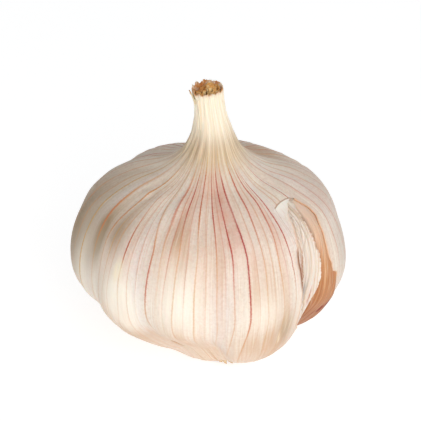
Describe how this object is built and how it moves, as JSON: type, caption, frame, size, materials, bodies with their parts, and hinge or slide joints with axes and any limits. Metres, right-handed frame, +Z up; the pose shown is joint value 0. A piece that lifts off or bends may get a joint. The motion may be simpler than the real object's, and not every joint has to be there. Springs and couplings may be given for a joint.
{
  "type": "garlic bulb",
  "caption": "Whole bulb of pink-striped garlic with a cut neck, its papery wrapper torn on one side to show a clove in its skin.",
  "frame": {"origin": "middle of the flat underside of the root plate, which the bulb rests on", "axes": "+Z up through the neck, -Y the front of the bulb, +X the side where the wrapper is torn"},
  "size_m": [0.0624, 0.0616, 0.065],
  "materials": {
    "wrapper": "dry papery skin, cream with red lengthwise veins and a pink blush",
    "inner_skin": "thin dry white skin with a slight sheen",
    "clove_skin": "smooth orange-tan skin with darker lengthwise streaks",
    "cut_sheaths": "dry brown cut leaf ends",
    "root": "rough dry corky tissue"
  },
  "bodies": {
    "root": {"wrapped_bulb": "wrapper", "inner_skin": "inner_skin", "exposed_clove": "clove_skin", "neck_sheaths": "cut_sheaths", "root_plate": "root"}
  },
  "joints": []
}
